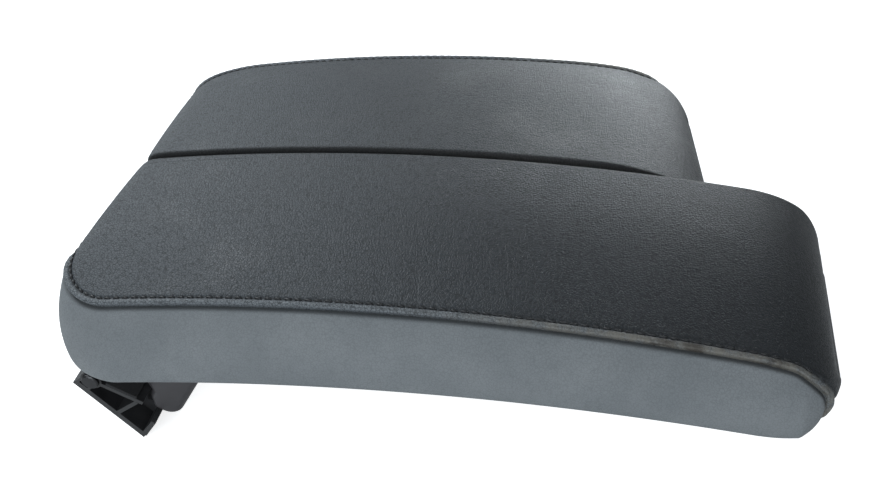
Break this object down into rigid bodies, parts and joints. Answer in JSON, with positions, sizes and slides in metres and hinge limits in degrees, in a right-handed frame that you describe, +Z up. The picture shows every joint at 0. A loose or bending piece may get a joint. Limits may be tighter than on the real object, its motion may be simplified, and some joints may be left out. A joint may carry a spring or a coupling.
{
  "type": "split centre console armrest lid",
  "caption": "Split car armrest lid: long and short padded leather lids with gooseneck arms on one ribbed hinge bracket, each with a sprung release lever.",
  "frame": {"origin": "midway between the two bolt holes, on the hinge bracket's sloping mounting face", "axes": "+X to the front of the car along the gap between the lids, +Z up, +Y from the long lid to the short lid"},
  "size_m": [0.3582, 0.259, 0.1201],
  "materials": {
    "top_leather": "fine-grained dark grey leather, satin, worn shiny at the edges",
    "side_leather": "fine-grained mid grey leather, matt",
    "foam": "moulded polyurethane foam",
    "frame_plastic": "glass-filled moulding, dull",
    "panel_plastic": "fine spark-eroded grain",
    "arm_plastic": "smooth satin moulding",
    "bracket_plastic": "black glass-filled moulding",
    "felt": "black anti-rattle felt",
    "bush_nylon": "natural nylon",
    "steel": "zinc-plated steel",
    "rubber": "black rubber"
  },
  "bodies": {
    "bracket": {"hinge_bracket": "bracket_plastic", "bracket_felts": "felt", "hinge_pin": "steel", "pin_clip": "steel"},
    "long_lid": {"long_top_cover": "top_leather", "long_side_cover": "side_leather", "long_foam_pad": "foam", "long_lid_frame": "frame_plastic", "long_inner_panel": "panel_plastic", "long_hinge_arm": "arm_plastic", "long_arm_bushes": "bush_nylon", "long_arm_screws": "steel", "long_panel_screws": "steel", "long_closing_buffers": "rubber", "long_lever_pin": "steel", "long_lever_spring": "steel"},
    "long_lever": {"long_release_lever": "panel_plastic"},
    "short_lid": {"short_top_cover": "top_leather", "short_side_cover": "side_leather", "short_foam_pad": "foam", "short_lid_frame": "frame_plastic", "short_inner_panel": "panel_plastic", "short_hinge_arm": "arm_plastic", "short_arm_bushes": "bush_nylon", "short_arm_screws": "steel", "short_panel_screws": "steel", "short_closing_buffers": "rubber", "short_lever_pin": "steel", "short_lever_spring": "steel"},
    "short_lever": {"short_release_lever": "panel_plastic"}
  },
  "joints": [
    {"name": "long_lid_hinge", "type": "hinge", "parent": "bracket", "child": "long_lid", "pos_m": [-0.00484, 0, 0.02368], "axis": [0, -1, 0], "range_deg": [0, 80]},
    {"name": "long_lever_pull", "type": "hinge", "parent": "long_lid", "child": "long_lever", "pos_m": [0.29416, -0.052, 0.05534], "axis": [0, -1, 0], "range_deg": [0, 14], "stiffness_Nm_per_rad": 0.3, "springref_deg": -5.73, "deforming": ["long_lever_spring"]},
    {"name": "short_lid_hinge", "type": "hinge", "parent": "bracket", "child": "short_lid", "pos_m": [-0.00484, 0, 0.02368], "axis": [0, -1, 0], "range_deg": [0, 80]},
    {"name": "short_lever_pull", "type": "hinge", "parent": "short_lid", "child": "short_lever", "pos_m": [0.23716, 0.052, 0.06018], "axis": [0, -1, 0], "range_deg": [0, 14], "stiffness_Nm_per_rad": 0.3, "springref_deg": -5.73, "deforming": ["short_lever_spring"]}
  ]
}
